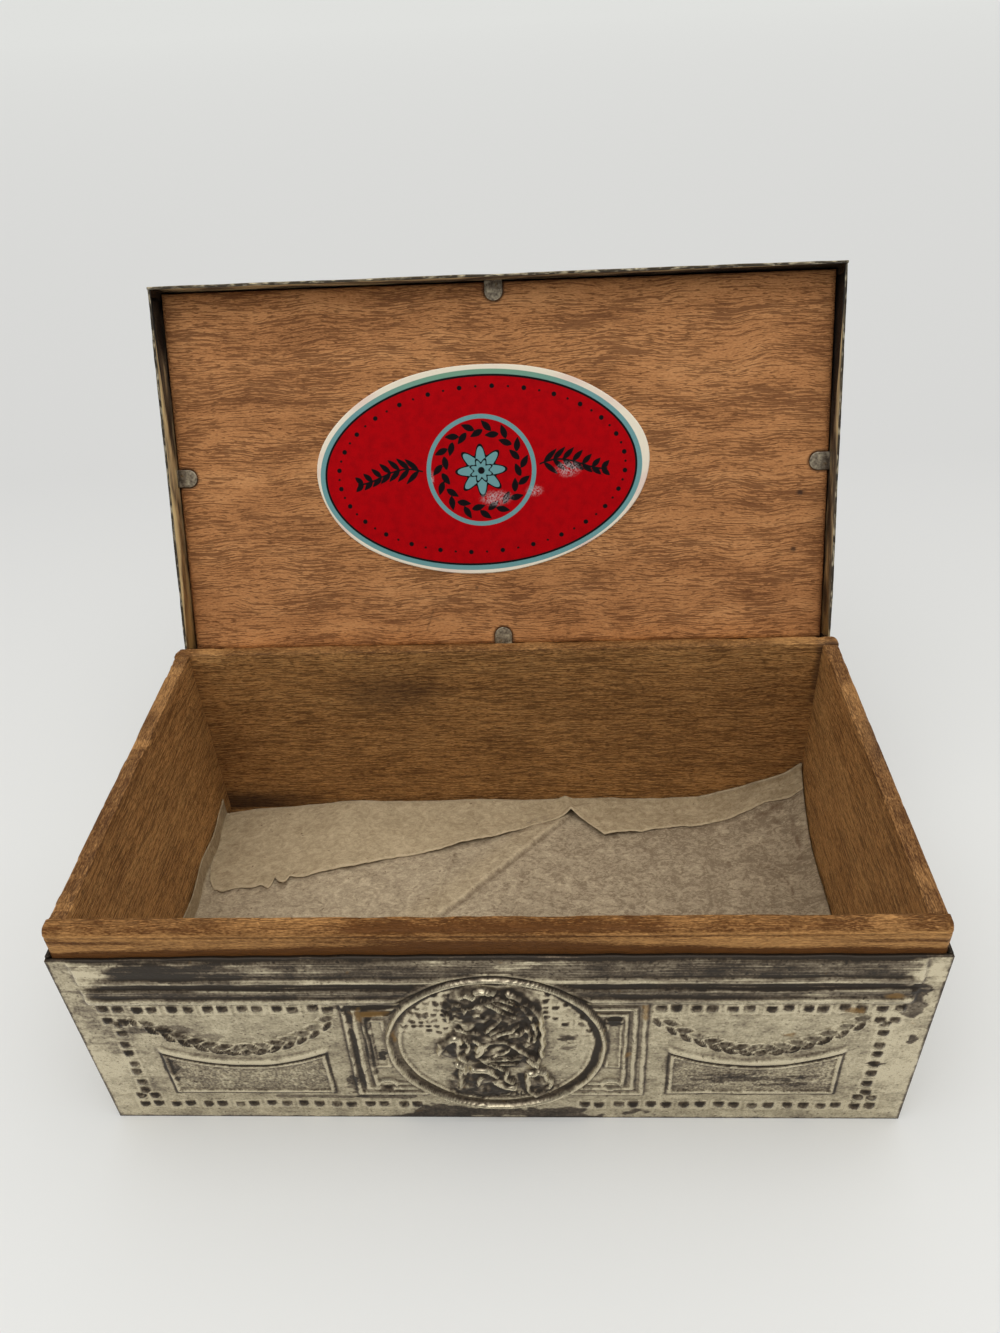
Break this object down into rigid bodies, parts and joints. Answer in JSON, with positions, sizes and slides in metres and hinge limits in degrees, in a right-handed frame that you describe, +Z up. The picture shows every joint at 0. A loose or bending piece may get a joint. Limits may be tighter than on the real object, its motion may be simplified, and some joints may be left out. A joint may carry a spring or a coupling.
{
  "type": "metal box",
  "caption": "Oblong box of embossed plated sheet with a wooden lining that stands up as a collar, and a hinged tray lid with a wooden panel and an oval label inside.",
  "frame": {"origin": "middle of the underside, on the surface that the box stands on", "axes": "+X along the width, towards the right as seen from the front; the front faces -Y; +Z up"},
  "size_m": [0.1538, 0.1308, 0.1265],
  "materials": {
    "plated_wall": "embossed silver plate, tarnished dark in the hollows",
    "plated_lid": "silver plate, tarnished",
    "collar_wood": "worn, oiled",
    "panel_wood": "open pored, satin",
    "tab_metal": "dull plate",
    "hinge_metal": "plated, worn",
    "brad_steel": "plain",
    "solder": "blackened solder",
    "label_paper": "printed, slightly glossy",
    "tissue": "thin yellowed tissue"
  },
  "bodies": {
    "base": {"front_panel": "plated_wall", "back_panel": "plated_wall", "left_panel": "plated_wall", "right_panel": "plated_wall", "base_plate": "plated_wall", "front_board": "collar_wood", "back_board": "collar_wood", "left_board": "collar_wood", "right_board": "collar_wood", "bottom_board": "collar_wood", "corner_brads": "brad_steel", "tissue_paper": "tissue", "hinge_base_leaf": "hinge_metal", "hinge_pin": "hinge_metal"},
    "lid": {"lid_top_plate": "plated_lid", "lid_skirt_front": "plated_lid", "lid_skirt_back": "plated_lid", "lid_skirt_left": "plated_lid", "lid_skirt_right": "plated_lid", "lid_panel": "panel_wood", "retaining_tab_front": "tab_metal", "retaining_tab_back": "tab_metal", "retaining_tab_left": "tab_metal", "retaining_tab_right": "tab_metal", "lid_label": "label_paper", "lid_corner_solder": "solder", "hinge_lid_leaf": "hinge_metal"}
  },
  "joints": [
    {"name": "lid_hinge", "type": "hinge", "parent": "base", "child": "lid", "pos_m": [0, 0.04325, 0.0485], "axis": [1, 0, 0], "range_deg": [0, 113]}
  ]
}
